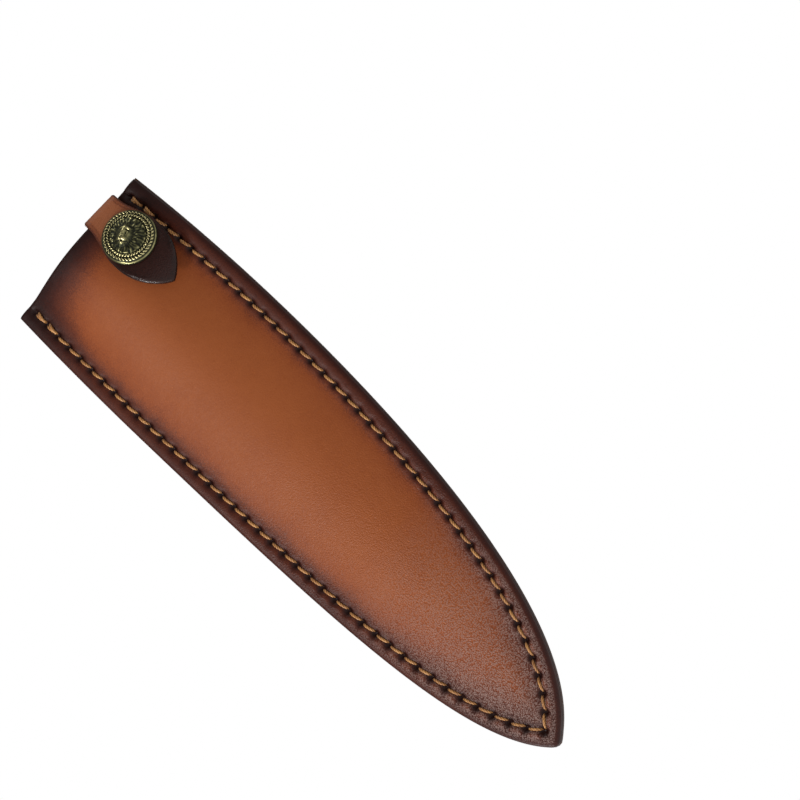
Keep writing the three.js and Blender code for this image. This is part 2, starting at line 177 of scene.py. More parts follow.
class Shape:
    """Closed bodies collected into one mesh: vertices, faces, a finish for each face and layers."""

    def __init__(self):
        self.verts, self.faces, self.finish = [], [], []
        self.layers = {"rest": [], "burn": [], "cavity": [], "relief": []}
        self.count = 0

    def add(self, verts, faces, rest=None, burn=0.0, cavity=0.0, relief=0.5, finish=0):
        """faces is a list of (n, 4) arrays and single polygons; finish is a number for each of them.

        rest is the place in the grain; the stain layer holds the stain with painted shade mixed in, in
        the seams' grooves and at the front's stitch holes and creases, and a painted highlight on the
        front's pucker ridges; cavity holds painted shade in the stitch holes, between the thread's plies
        and at its ends, and on the snap cap the brass's patina in its hollows with a painted highlight
        on its highest points; relief is the grain's depth.
        """
        size = len(verts)
        finishes = finish if isinstance(finish, (list, tuple)) else [finish] * len(faces)
        outward = volume(verts, faces) > 0
        for group, look in zip(faces, finishes):
            many = isinstance(group, np.ndarray) and group.ndim == 2
            rows = group.tolist() if many else [list(group)]
            for row in rows:
                ordered = row if outward else row[::-1]
                self.faces.append([self.count + k for k in ordered])
                self.finish.append(look)
        self.verts.append(verts)
        self.layers["rest"].append(verts if rest is None else rest)
        for key, value in (("burn", burn), ("cavity", cavity), ("relief", relief)):
            self.layers[key].append(np.broadcast_to(value, size))
        self.count += size

    def piece(self, name, materials, slot, replaces, body=None, sharp=40):
        """The mesh as one visible piece, with the nodes it replaces and the body it rides; slot is not
        used.
        """
        mesh = bpy.data.meshes.new(name)
        verts = np.vstack(self.verts)
        mesh.from_pydata((verts * MM + ORIGIN).tolist(), [], self.faces)
        mesh.polygons.foreach_set("use_smooth", np.ones(len(mesh.polygons), bool))
        mesh.polygons.foreach_set("material_index", np.array(self.finish, np.int32))
        mesh.set_sharp_from_angle(angle=math.radians(sharp))
        rest = mesh.attributes.new("rest", "FLOAT_VECTOR", "POINT")
        rest.data.foreach_set("vector", np.vstack(self.layers["rest"]).astype(np.float32).ravel())
        for key in ("burn", "cavity", "relief"):
            layer = mesh.attributes.new(key, "FLOAT", "POINT")
            layer.data.foreach_set("value", np.concatenate(self.layers[key]).astype(np.float32))
        for material in materials:
            mesh.materials.append(material)
        mesh.update()
        piece = add_object(name, mesh)
        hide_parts(*replaces)
        if body:
            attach(piece, body)
        return piece


def closed_sheet(outer, inner):
    """Vertices and faces of a closed sheet between two grids; face groups are outer, inner, wall."""
    rows, cols = outer.shape[:2]
    size = rows * cols
    verts = np.vstack([outer.reshape(-1, 3), inner.reshape(-1, 3)])
    index = np.arange(size).reshape(rows, cols)
    ring = np.concatenate([index[0], index[1:, -1], index[-1, -2::-1], index[-2:0:-1, 0]])
    after = np.roll(ring, -1)
    wall = np.stack([after, ring, ring + size, after + size], -1)
    return verts, [grid_faces(rows, cols), grid_faces(rows, cols, size)[:, ::-1], wall]


def clustered(length, coarse, fine, growth=0.25, ends=(True, True)):
    """Steps from 0 to length, finer towards the chosen ends."""
    steps = [0.0]
    while steps[-1] < length:
        here = steps[-1]
        near = min(here if ends[0] else length, length - here if ends[1] else length)
        steps.append(here + min(coarse, fine + growth * max(near, 0)))
    return np.array(steps) * (length / steps[-1])


def rounding(distance, radius):
    """How far a rounded edge drops below the face at a distance from the edge."""
    short = np.clip(radius - distance, 0, radius)
    return radius - np.sqrt(radius**2 - short**2)


def ease(value, low, high):
    """0 up to low and 1 from high on, with a smooth rise between them."""
    share = np.clip((value - low) / (high - low), 0, 1)
    return share**2 * (3 - 2 * share)


def soft_under(value, limit, width):
    """1 under the limit and 0 over it, with a soft change of a given width."""
    return 1 / (1 + np.exp((value - limit) / width))


def fade(value, reach, power=2.0):
    """1 at zero, falling to nothing some way past the reach."""
    return np.exp(-(np.clip(np.abs(value) / reach, 0, 50) ** power))


def blend_burns(*burns):
    """Burns that lie over each other never get lighter."""
    left = 1.0
    for burn in burns:
        left = left * (1 - np.clip(burn, 0, 1))
    return 1 - left


def unit(vectors):
    return vectors / np.linalg.norm(vectors, axis=-1, keepdims=True)


def measure(line):
    """Distance travelled along a line at each of its points."""
    return np.concatenate([[0], np.cumsum(np.linalg.norm(np.diff(line, axis=0), axis=1))])


def bezier(pulls, steps):
    """A cubic curve from the first of four points to the last."""
    t = np.linspace(0, 1, steps)[:, None]
    weights = ((1 - t) ** 3, 3 * t * (1 - t) ** 2, 3 * t**2 * (1 - t), t**3)
    return sum(weight * pull for weight, pull in zip(weights, pulls))


def capped_tube(grid):
    """Vertices and faces of a tube from its rings, closed at both ends."""
    rows, cols = grid.shape[:2]
    ring = np.arange(cols)
    faces = [grid_faces(rows, cols, wrap=True), ring[::-1], ring + (rows - 1) * cols]
    return grid.reshape(-1, 3), faces


def fan(centre, ring, turn=1):
    """Triangles from a centre to each side of a ring of vertices."""
    pairs = zip(ring.tolist(), np.roll(ring, -1).tolist())
    return [[centre, a, b] if turn > 0 else [centre, b, a] for a, b in pairs]


# ---- outline and seam lines ----
def outline_sides():
    """The spine's side and the belly's side as dense (x, z) lines from the mouth to the tip."""
    points = np.array([drawn(v.co) for v in frame["nodes"]["welt"].data.vertices])
    heights = np.unique(points[:, 2].round(3))[::-1]
    rows = [points[np.abs(points[:, 2] - z) < 2e-3][:, 0] for z in heights]
    sides = []
    for pick in (min, max):
        knots = np.array([[pick(row), z] for row, z in zip(rows, heights)])
        above = knots[0] + (knots[0] - knots[1]) * (0 - knots[0][1]) / (knots[0][1] - knots[1][1])
        sides.append(np.vstack([above, smooth_line(knots, 8)]))
    return sides


def smooth_line(knots, steps):
    """A Catmull-Rom curve through the knots."""
    first, last = 2 * knots[0] - knots[1], 2 * knots[-1] - knots[-2]
    k = np.vstack([first, knots, last])
    t = np.linspace(0, 1, steps, endpoint=False)[:, None]
    parts = []
    for a, b, c, d in zip(k[:-3], k[1:-2], k[2:-1], k[3:]):
        parts.append(0.5 * (2 * b + (c - a) * t + (2 * a - 5 * b + 4 * c - d) * t**2
                            + (3 * b - a - 3 * c + d) * t**3))
    return np.vstack([*parts, knots[-1:]])


def nearest_on(line, points):
    """Distance from each (x, z) point to a line."""
    best = np.full(len(points), np.inf)
    for a, b in zip(line[:-1], line[1:]):
        step = b - a
        length = math.hypot(*step)
        if length < 1e-9:
            continue
        share = np.clip(((points - a) @ step) / length**2, 0, 1)
        gap = np.hypot(points[:, 0] - a[0] - share * step[0], points[:, 1] - a[1] - share * step[1])
        best = np.minimum(best, gap)
    return best


def resample(line, at):
    """Points of any dimension at distances along a line."""
    travelled = measure(line)
    return np.stack([np.interp(at, travelled, line[:, k]) for k in range(line.shape[1])], -1)


SPINE, BELLY = outline_sides()
OUTLINE = np.vstack([SPINE, BELLY[::-1]])
TIP_Z = SPINE[-1][1]


def edge_x(side, z):
    return np.interp(z, side[::-1, 1], side[::-1, 0])


def seam_side(side, other):
    """The seam along one side, from the mouth to where it meets the other side's."""
    along = np.gradient(side, axis=0)
    normal = unit(np.stack([-along[:, 1], along[:, 0]], -1))
    inwards = 1 if np.sum(normal[0] * (other[0] - side[0])) > 0 else -1
    line = side + inwards * SEAM_INSET * normal
    free = nearest_on(other, line) >= SEAM_INSET - 0.02
    last = len(line) if free.all() else int(np.argmin(free))
    return line[:last]


def hole_places(line):
    """Distances along a seam at which the thread goes through, a little wider apart at the tip."""
    length = measure(line)[-1]
    count = round((length - FIRST_STITCH) / STITCH)
    share = np.arange(count + 1) / count
    grown = (1 - STITCH_GROWTH / 2) * share + STITCH_GROWTH / 2 * share**2
    return FIRST_STITCH + (length - FIRST_STITCH) * grown


SPINE_SEAM = seam_side(SPINE, BELLY)
BELLY_SEAM = seam_side(BELLY, SPINE)
SEAM = np.vstack([SPINE_SEAM, BELLY_SEAM[::-1]])
SPINE_HOLES = resample(SPINE_SEAM, hole_places(SPINE_SEAM))
BELLY_HOLES = resample(BELLY_SEAM, hole_places(BELLY_SEAM))
HOLES = np.vstack([SPINE_HOLES, BELLY_HOLES])


def holes_near(points):
    """Distance from each point to the nearest hole."""
    distance = np.full(len(points), np.inf)
    for x, z in HOLES:
        distance = np.minimum(distance, np.hypot(points[:, 0] - x, points[:, 1] - z))
    return distance


# ---- front and back surfaces ----
def dome(points):
    """How far the front panel bulges at (x, z)."""
    z = np.clip(points[:, 1], TIP_Z, 0)
    low, high = edge_x(SPINE, z), edge_x(BELLY, z)
    borders = []
    for side in (SPINE, BELLY):
        slope = (edge_x(side, z + 1) - edge_x(side, np.maximum(z - 1, TIP_Z))) / 2
        borders.append(np.minimum(FLAT_BORDER * np.hypot(1, slope), 0.47 * (high - low)))
    low, high = low + borders[0], high - borders[1]
    across = np.clip((2 * points[:, 0] - low - high) / (high - low), -1, 1)
    fullness = np.clip((high - low - 4) / (FULL_SPAN - 4), 0, 1)
    height = BODY_BULGE + (MOUTH_BULGE - BODY_BULGE) * np.exp(-((z / BULGE_REACH) ** 2))
    return height * fullness * (1 - across**2) ** 1.4


def border(points):
    """Distances to the outer edge and to the seam, and 1 outside the seam but 0 inside it."""
    edge = nearest_on(OUTLINE, points)
    seam = nearest_on(SEAM, points)
    return edge, seam, np.where(edge < SEAM_INSET, 1.0, 0.0)


def stud_plane(points):
    """The front's height where the snap's stud presses it flat, and how much that height counts."""
    centre = SNAP + (STUD_SEAT - 0.15) * FLAP_IN
    x, z = points[:, 0] - centre[0], points[:, 1] - centre[2]
    y = centre[1] - (FLAP_IN[0] * x + FLAP_IN[2] * z) / FLAP_IN[1]
    return -y, soft_under(np.hypot(x, z), STUD_FLAT, 0.45)


def front_height(points, edge, seam):
    """Height of the front over the middle of the welt, without stitches."""
    crown = 0.25 * fade(edge - 2.6, 1.9) - 0.12 * fade(edge - 9.0, 2.5)
    height = FACE + dome(points) + crown - 0.38 * fade(seam, 1.25)
    flat, weight = stud_plane(points)
    return height * (1 - weight) + np.minimum(flat, height + 3) * weight


def edge_offsets():
    """Distances from the edge of the columns that follow it, close together at the rounding and seam."""
    offsets = [0.0]
    while offsets[-1] < FLAT_BORDER + 0.5:
        here = offsets[-1]
        offsets.append(here + 0.1 + 0.22 * min(here, abs(here - SEAM_INSET)))
    return np.array(offsets)


def panel_grid(top, coarse, middle):
    """(x, z) points of a panel from its mouth edge, top(x), to the tip."""
    offsets = edge_offsets()
    drop = clustered(-TIP_Z, coarse, 0.06)
    grid = np.zeros((len(drop), 2 * len(offsets) + middle, 2))
    for row, depth in enumerate(drop):
        z = -depth
        low, high = edge_x(SPINE, z), edge_x(BELLY, z)
        room = 0.46 * (high - low) / offsets[-1]
        ends = []
        for side in (SPINE, BELLY):
            slope = (edge_x(side, min(z + 1, 0)) - edge_x(side, max(z - 1, TIP_Z))) / 2
            ends.append(offsets * min(math.hypot(1, slope), room))
        between = np.linspace(low + ends[0][-1], high - ends[1][-1], middle + 2)[1:-1]
        grid[row, :, 0] = np.concatenate([low + ends[0], between, high - ends[1][::-1]])
        grid[row, :, 1] = z
    lift = top(grid[0, :, 0])
    reach = np.clip(1 + grid[:, :, 1] / 30, 0, 1)
    grid[:, :, 1] += lift[None, :] * reach
    return grid


def leather_stain_and_shade(points, edge, seam, depth, belly_reach, spine_reach):
    """Dark stain along the border and the mouth, and painted shade along the seam's groove."""
    middle = (edge_x(SPINE, points[:, 1]) + edge_x(BELLY, points[:, 1])) / 2
    reach = np.where(points[:, 0] > middle, belly_reach, spine_reach)
    to_tip = points[:, 1] - TIP_Z
    reach = reach * (1 + 0.5 * fade(to_tip, 60))
    inside = np.clip(edge - SEAM_INSET, 0, None)
    outer = 0.6 + 0.2 * fade(edge, 1.1)
    border_burn = np.where(edge < SEAM_INSET, outer, 0.6 * fade(inside, reach, 1.2))
    mouth = 0.76 * fade(depth, 6.5, 1.3) + 0.3 * fade(depth, 16)
    corner = 0.75 * fade(depth, 20) * fade(edge, 10)
    # The seam term darkens the seam's groove: painted shade.
    return blend_burns(border_burn, mouth, corner, 0.22 * fade(seam, 0.9), 0.16 * fade(to_tip, 34))


def grain_relief(depth, edge, hole):
    """The grain stands out more and more towards the tip, and is pressed flat at the rim and holes."""
    # Past about 0.62 this also lets the painted sheen onto the grain's tops.
    relief = 0.12 + 0.88 * ease(depth, 55, 215)
    return relief * (1 - 0.9 * fade(edge, 1.3)) * (1 - fade(hole, 1.5))


def add_panel(name, node, face, grid, height, bulge, edge, depth, layers):
    """A leather panel, in front (face -1) or behind (1), over an under side with the same bulge."""
    under = WELT / 2 + bulge + rounding(edge, 0.12) + 0.5 * rounding(depth, 0.5)
    height = height - (rounding(edge, EDGE_ROUND) + rounding(depth, MOUTH_ROUND))
    sides = []
    for y in (np.maximum(height, under + THINNEST), under):
        sides.append(np.dstack([grid[..., 0], face * y.reshape(grid.shape[:2]), grid[..., 1]]))
    verts, faces = closed_sheet(*sides)
    shape = Shape()
    shape.add(verts, faces, None, *(np.tile(layer, 2) for layer in layers), [0, 1, 2])
    shape.piece(name, PANEL_LOOKS, "panel_leather", [node], "sheath")


def front_panel():
    grid = panel_grid(lambda x: np.full_like(x, -MOUTH_DROP), 0.55, 58)
    flat = grid.reshape(-1, 2)
    edge, seam, outside = border(flat)
    depth = np.clip(-MOUTH_DROP - flat[:, 1], 0, None)
    hole = holes_near(flat)
    low_end = outside * np.clip((-flat[:, 1] - 90) / 120, 0, 1)
    between = np.clip((hole - 1.3) / 1.2, 0, 1) ** 1.5
    beside = np.sqrt(np.clip(hole**2 - seam**2, 0, None))
    pucker = low_end * fade(seam - 1.6, 0.9) * between
    crease = low_end * fade(beside, 0.75) * fade(seam - 1.3, 1.5)
    height = front_height(flat, edge, seam) - 1.1 * fade(hole, 1.1) + 0.55 * pucker - 0.45 * crease
    # Lighter on the pucker ridges: painted highlight. Darker around the stitch holes and in the creases
    # between them: painted shade.
    burn = leather_stain_and_shade(flat, edge, seam, depth, 4.4, 6.6) * (1 - 0.45 * pucker)
    burn = blend_burns(burn, 0.85 * fade(hole, 1.5), 0.5 * crease)
    # The second layer darkens the stitch holes: painted shade.
    layers = (burn, fade(hole, 0.95), grain_relief(depth, edge, hole))
    add_panel("front_leather", "front_panel", -1, grid, height, dome(flat), edge, depth, layers)


def back_panel():
    grid = panel_grid(lambda x: -BACK_SCOOP * (1 - (x / BACK_HALF) ** 2), 0.8, 50)
    flat = grid.reshape(-1, 2)
    edge, seam, _ = border(flat)
    top = -BACK_SCOOP * (1 - np.clip(flat[:, 0] / BACK_HALF, -1, 1) ** 2)
    depth = np.clip(top - flat[:, 1], 0, None)
    hole = holes_near(flat)
    crown = 0.2 * fade(edge - 2.6, 1.9) - 0.1 * fade(seam, 1.1)
    wave = 0.12 * np.sin(flat[:, 1] / 17 + flat[:, 0] / 23) * np.clip((edge - 6) / 8, 0, 1)
    height = FACE + crown + wave - 0.4 * fade(hole, 0.7)
    for x, z in ((0, -LOOP_RIVET_DEPTH), (REAR_BEND[0], -STRAP_RIVET_DEPTH)):
        height -= 0.2 * fade(np.hypot(flat[:, 0] - x, flat[:, 1] - z), 5)
    covered = (flat[:, 1] < -LOOP_FOLD_DEPTH) & (flat[:, 1] > -LOOP_LENGTH)
    covered &= np.abs(flat[:, 0]) < LOOP_END
    height = np.where(covered, np.minimum(height, FACE - CLEARANCE), height)
    burn = leather_stain_and_shade(flat, edge, seam, depth, 5.5, 4.2)
    # The second layer darkens the stitch holes: painted shade.
    layers = (burn, fade(hole, 0.7), grain_relief(depth, edge, hole))
    add_panel("back_leather", "back_panel", 1, grid, height, 0, edge, depth, layers)


def welt():
    """The spacer: a band inside the outline, its outer edge swelling a little between the panels."""
    line = resample(OUTLINE, np.arange(0.4, measure(OUTLINE)[-1] - 0.4, 1.2))
    along = unit(np.gradient(line, axis=0))
    inwards = np.stack([-along[:, 1], along[:, 0]], -1)
    if np.dot(inwards[0], OUTLINE[-1] - OUTLINE[0]) < 0:
        inwards = -inwards
    span = np.interp(line[:, 1], SPINE[::-1, 1], (BELLY - SPINE)[::-1, 0])
    width = np.maximum(np.minimum(WELT_WIDTH, 0.45 * span), 0.6)
    section = []
    for angle in np.linspace(-math.pi / 2, math.pi / 2, 9):
        swell = 0.12 - 0.3 * (1 - math.cos(angle))
        section.append((line - inwards * swell, WELT / 2 * math.sin(angle)))
    for y in (WELT / 2, -WELT / 2):
        section.append((line + inwards * width[:, None], y))
    grid = np.stack([np.insert(place, 1, y, axis=1) for place, y in section], 1)
    shape = Shape()
    shape.add(*capped_tube(grid), burn=0.85)
    shape.piece("welt_edge", [EDGE], "edge_leather", ["welt"], "sheath")


# ---- stitches ----
def twisted_tube(path, outwards, radius, sides=18, turns_per_mm=0.33, start=0.0):
    """A three-ply thread along a path, closed at both ends."""
    along = unit(np.gradient(path, axis=0))
    side = unit(np.cross(along, outwards))
    up = np.cross(side, along)
    travelled = measure(path)
    angle = np.linspace(0, 2 * math.pi, sides, endpoint=False)[None, :]
    twist = 2 * math.pi * turns_per_mm * (travelled[:, None] + start)
    ply = np.abs(np.cos(1.5 * (angle + twist)))
    swell = 0.82 + 0.22 * np.sin(math.pi * travelled / max(travelled[-1], 1e-6))[:, None]
    reach = (radius * swell * (0.78 + 0.27 * ply))[:, :, None]
    turned = np.cos(angle)[..., None] * side[:, None] + np.sin(angle)[..., None] * up[:, None]
    verts, faces = capped_tube(path[:, None] + reach * turned)
    # The third value darkens the grooves between the plies and the ends that go into the holes: painted
    # shade.
    near_hole = np.abs(2 * travelled / max(travelled[-1], 1e-6) - 1)[:, None] ** 5
    return verts, faces, (1 - ply + 0.8 * near_hole).ravel()


def directions(a, b):
    """Unit directions from a to b and square to that."""
    along = (b - a) / math.hypot(*(b - a))
    return along, np.array([-along[1], along[0]])


def stitch_path(a, b, face, height, rise, slant, sink=1.2, steps=17):
    """From hole a to hole b over the surface: out, along and in again."""
    share = np.linspace(0, 1, steps)
    eased = 0.5 - 0.5 * np.cos(math.pi * share)
    mixed = 0.55 * share + 0.45 * eased
    _, normal = directions(a, b)
    flat = a + (0.12 + 0.76 * mixed[:, None]) * (b - a) + slant * (share[:, None] - 0.5) * normal
    lift = rise - (rise + sink) * np.abs(2 * share - 1) ** 2.4
    return np.stack([flat[:, 0], face * (height(flat) + lift), flat[:, 1]], -1)


def front_base(flat):
    """The front's height under its stitches."""
    return front_height(flat, *border(flat)[:2])


def seam_thread(name, face, height, radius, rise, slant, node, knots=False):
    """One thread along both seams; the first two stitches at the mouth are sewn twice."""
    shape = Shape()
    outwards = np.array([0.0, face, 0.0])
    for holes in (SPINE_HOLES, BELLY_HOLES):
        for number, (a, b) in enumerate(zip(holes[:-1], holes[1:])):
            path = stitch_path(a, b, face, height, rise, slant)
            verts, faces, cavity = twisted_tube(path, outwards, radius, start=number * 1.7)
            shape.add(verts, faces, cavity=cavity)
            if number < 2:
                _, normal = directions(a, b)
                again = stitch_path(a + 0.6 * normal, b + 0.3 * normal, face, height, rise + 0.2, -slant)
                verts, faces, cavity = twisted_tube(again, outwards, radius, start=0.9)
                shape.add(verts, faces, cavity=cavity)
            if knots:
                add_knot(shape, a, b, face, height, radius)
    shape.piece(name, [THREAD], "seam_thread", [node], "sheath")


def add_knot(shape, a, b, face, height, radius):
    """The small crossing where the two threads lock at a hole."""
    along, normal = directions(a, b)
    for lean in (0.5, -0.5):
        reach = 0.75 * normal + lean * along
        path = stitch_path(a - reach, a + reach, face, height, radius * 0.75, 0, sink=0.5, steps=9)
        verts, faces, cavity = twisted_tube(path, np.array([0.0, face, 0.0]), radius * 0.7, sides=12)
        shape.add(verts, faces, burn=0.6, cavity=cavity)


# ---- straps ----
def strap_body(centre, across, half, travelled, free_ends, burn, grain_side, edge_round=STRAP_ROUND):
    """A flat strap along a line of centres with rounded long edges and free ends.

    travelled is each centre's distance along it, and burn(travelled, distance from an edge) its stain.
    """
    along = unit(np.gradient(centre, axis=0))
    outwards = grain_side * unit(np.cross(across, along))
    v = np.sin(np.linspace(-math.pi / 2, math.pi / 2, STRAP_COLUMNS))
    to_side = half[:, None] * (1 - np.abs(v))[None, :]
    to_end = np.full(len(centre), 1e3)
    if free_ends[0]:
        to_end = np.minimum(to_end, travelled)
    if free_ends[1]:
        to_end = np.minimum(to_end, travelled[-1] - travelled)
    slope = np.gradient(half, travelled)
    near = np.minimum(to_side / np.hypot(1, slope)[:, None], to_end[:, None])
    rise = STRAP / 2 - rounding(near, edge_round) - 0.05 * fade(near - 1.6, 0.35)
    middle = centre[:, None] + across[:, None] * (half[:, None] * v)[..., None]
    outer = middle + outwards[:, None] * rise[..., None]
    inner = middle - outwards[:, None] * (STRAP / 2 - rounding(near, 0.35))[..., None]
    rest = np.stack(np.broadcast_arrays(half[:, None] * v, 0 * rise, travelled[:, None]), -1)
    below = rest + np.array([0, 3.0, 0])
    verts, faces = closed_sheet(outer, inner)
    edges = 0.5 * fade(near, 0.9), 0.25 * fade(near - 1.6, 0.3)
    dark = blend_burns(burn(travelled[:, None], near), *edges).ravel()
    rest = np.vstack([rest.reshape(-1, 3), below.reshape(-1, 3)])
    shape = Shape()
    shape.add(verts, faces, rest, burn=np.tile(dark, 2), finish=[0, 1, 2])
    return shape


def round_corner(distance, half, corner):
    """Half width of a strap whose end has round corners, at a distance from that end."""
    short = np.clip(corner - distance, 0, corner)
    return half - corner + np.sqrt(corner**2 - short**2)


def loop_line():
    """Middle of the belt loop: up the inner leg, round the fold and down the outer leg."""
    inner = FACE + STRAP / 2
    centre = np.array([inner + LOOP_FOLD, -LOOP_FOLD_DEPTH - STRAP / 2 - LOOP_FOLD])
    turn = np.linspace(math.pi, -LOOP_SLOPE, 60)
    fold = centre + LOOP_FOLD * np.stack([np.cos(turn), np.sin(turn)], -1)
    down = np.array([-math.sin(LOOP_SLOPE), -math.cos(LOOP_SLOPE)])
    land = fold[-1] + down * LOOP_STRAIGHT
    outer = inner + STRAP + LEG_GAP
    meet = 5 - LOOP_RIVET_DEPTH
    ease = bezier((land, land + 4 * down, np.array([outer, meet + 9]), np.array([outer, meet])), 30)
    line = np.vstack([[inner, -LOOP_LENGTH], fold, ease, [outer, -LOOP_LENGTH]])
    return np.insert(line, 0, 0.0, axis=1)


def belt_loop():
    line = loop_line()
    length = measure(line)[-1]
    travelled = clustered(length, 0.8, 0.08)
    centre = resample(line, travelled)
    low = centre[:, 2] + LOOP_LENGTH
    half = LOOP_END + (LOOP_TOP - LOOP_END) * np.clip(low / (LOOP_LENGTH - LOOP_FOLD_DEPTH), 0, 1)
    short = np.clip((LOOP_CORNER - low) / LOOP_CORNER, 0, 1)
    half = np.maximum(half * (1 - short**2.3) ** 0.5, 0.4)
    across = np.broadcast_to(X, centre.shape)

    def burn(along, near):
        end = np.minimum(along, length - along)
        return blend_burns(0.78 * fade(end, 14, 1.8), 0.1 * fade(near, 4))

    shape = strap_body(centre, across, half, travelled, (True, True), burn, 1)
    shape.piece("belt_loop_strap", STRAP_LOOKS, "strap_leather", ["belt_loop"], "sheath")


def strap_line():
    """Middle of the snap strap: tail, rear bend, bridge, front bend, flap."""
    tail = REAR_BEND - Z * (TAIL_LENGTH + REAR_BEND[2])
    points = [tail, corner_arc(REAR_BEND, Z, BRIDGE), corner_arc(FRONT_BEND, BRIDGE, FLAP_DOWN)]
    down = clustered(FLAP_LENGTH - BEND_RADIUS, 0.8, 0.2, ends=(False, True)) + BEND_RADIUS
    tuck = FLAP_TUCK * (np.clip(down - 24, 0, None) / (FLAP_LENGTH - 24)) ** 2
    points.append(FRONT_BEND + down[1:, None] * FLAP_DOWN + tuck[1:, None] * FLAP_IN)
    return np.vstack(points)


def corner_arc(corner, before, after, steps=16):
    """A bend of the strap about a corner between two directions."""
    turn = math.acos(np.dot(before, after))
    back = BEND_RADIUS * math.tan(turn / 2)
    start, end = corner - before * back, corner + after * back
    pull = 4 / 3 * math.tan(turn / 4) / math.tan(turn / 2)
    return bezier((start, start + (corner - start) * pull, end + (corner - end) * pull, end), steps)


def snap_strap():
    line = strap_line()
    length = measure(line)[-1]
    travelled = clustered(length, 0.55, 0.08)
    centre = resample(line, travelled)
    front_place = length - FLAP_LENGTH
    rear_place = TAIL_LENGTH + REAR_BEND[2]
    turned = ease(travelled, rear_place, front_place)[:, None]
    across = unit(X * (1 - turned) + FLAP_X * turned)
    half = round_corner(travelled, NECK_HALF, TAIL_CORNER)
    down = travelled - front_place
    wide = NECK_HALF + (FLAP_HALF - NECK_HALF) * ease(down, 1, FLAP_FLARE - 2)
    tongue = np.clip((down - FLAP_FLARE) / (FLAP_LENGTH - FLAP_FLARE), 0, 1)
    tip = np.maximum(FLAP_HALF * (1 - tongue**2.2) ** 0.8, 0.3)
    half = np.where(down > FLAP_FLARE, tip, np.where(down > 0, wide, half))

    def burn(along, near):
        tail_end = 0.85 * fade(along, 13, 2.4)
        flap_end = 0.8 * soft_under(front_place + SNAP_DEPTH, along, 2.2)
        return blend_burns(tail_end, flap_end, 0.12 * fade(near, 3))

    middle = int(np.argmin(np.abs(travelled - (rear_place + front_place) / 2)))
    halves = (
        ("snap_strap_rear", slice(0, middle + 1), (True, False), ["strap_tail", "strap_bridge"]),
        ("snap_strap_front", slice(middle, None), (False, True), ["strap_flap"]),
    )
    made = []
    for name, part, free, nodes in halves:
        offset = travelled[part][0]
        rounder = STRAP_ROUND + TIP_ROUND * np.clip((down[part] - FLAP_FLARE) / 12, 0, 1)[:, None]
        shape = strap_body(centre[part], across[part], half[part], travelled[part] - offset, free,
                           lambda along, near, offset=offset: burn(along + offset, near), -1, rounder)
        made.append(shape.piece(name, STRAP_LOOKS, "strap_leather", nodes))
    bends = (
        (made[0], "sheath", "bridge", REAR_BEND, -Z, BRIDGE),
        (made[1], "bridge", "flap", FRONT_BEND, -BRIDGE, FLAP_DOWN),
    )
    for piece, first, second, bend, before, after in bends:
        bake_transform(piece)


# ---- round pieces ----
def soften(profile, radius):
    """The profile with each corner rounded by up to the given radius."""
    points = np.array(profile, float)
    result = [points[0]]
    for before, corner, after in zip(points[:-2], points[1:-1], points[2:]):
        back, on = before - corner, after - corner
        reach = min(radius, 0.45 * np.linalg.norm(back), 0.45 * np.linalg.norm(on))
        a, b = corner + unit(back) * reach, corner + unit(on) * reach
        for t in np.linspace(0, 1, 5):
            result.append((1 - t) ** 2 * a + 2 * t * (1 - t) * corner + t**2 * b)
    return np.array([*result, points[-1]])


def turn_profile(profile, origin, x_axis, y_axis, sides=72, radius=0.15):
    """A round body about y_axis from (radius, y) pairs, whose two ends lie on the axis or meet."""
    z_axis = np.cross(x_axis, y_axis)
    pairs = soften(profile, radius)
    ends_meet = pairs[0][0] > 1e-6
    body = pairs[0 if ends_meet else 1:-1]
    angle = np.linspace(0, 2 * math.pi, sides, endpoint=False)
    round_ = np.cos(angle)[:, None] * x_axis + np.sin(angle)[:, None] * z_axis
    grid = origin + body[:, None, :1] * round_[None] + body[:, None, 1:] * y_axis
    rows, cols = grid.shape[:2]
    verts = grid.reshape(-1, 3)
    ring = np.arange(cols)
    last_ring = ring + (rows - 1) * cols
    faces = [grid_faces(rows, cols, wrap=True)]
    if ends_meet:
        faces.append(np.stack([last_ring, np.roll(last_ring, -1), np.roll(ring, -1), ring], -1))
    else:
        verts = np.vstack([verts, origin + pairs[0][1] * y_axis, origin + pairs[-1][1] * y_axis])
        faces += fan(rows * cols, ring, -1) + fan(rows * cols + 1, last_ring)
    return verts, faces


def round_piece(name, profile, origin, axis_x, axis_y, node, body, radius=0.15):
    """A turned piece of plain brass; its brushing follows its own axes."""
    shape = Shape()
    verts, faces = turn_profile(profile, origin, axis_x, axis_y, radius=radius)
    axes = np.stack([axis_x, axis_y, np.cross(axis_x, axis_y)], -1)
    shape.add(verts, faces, rest=(verts - origin) @ axes)
    shape.piece(name, [PLAIN_BRASS], "plain_brass", [node], body, sharp=50)


def rivets():
    places = (
        ("loop_rivet", 3.8, FACE + 2 * STRAP + LEG_GAP, 3.2, -LOOP_RIVET_DEPTH * Z),
        ("strap_rivet", 3.6, FACE + STRAP, 2.0, REAR_BEND[0] * X - STRAP_RIVET_DEPTH * Z),
    )
    foot = WELT / 2
    for name, radius, seat, depth, place in places:
        cap = [
            (0, seat + 1.3), (radius * 0.55, seat + 1.16), (radius * 0.86, seat + 0.84),
            (radius * 0.99, seat + 0.42), (radius, seat + 0.18), (radius - 0.25, seat + CLEARANCE),
            (1.9, seat + CLEARANCE), (1.9, seat - depth), (1.45, seat - depth), (1.45, seat + 0.4),
            (0, seat + 0.4),
        ]
        post = [
            (0, foot - 0.6), (radius * 0.9, foot - 0.6), (radius, foot - 0.35), (radius, foot - 0.05),
            (1.3, foot - 0.05), (1.3, seat + 0.2), (0, seat + 0.2),
        ]
        round_piece(name + "_dome", cap, place, X, Y, name + "_cap", "sheath", 0.3)
        round_piece(name + "_shank", post, place, X, Y, name + "_post", "sheath")


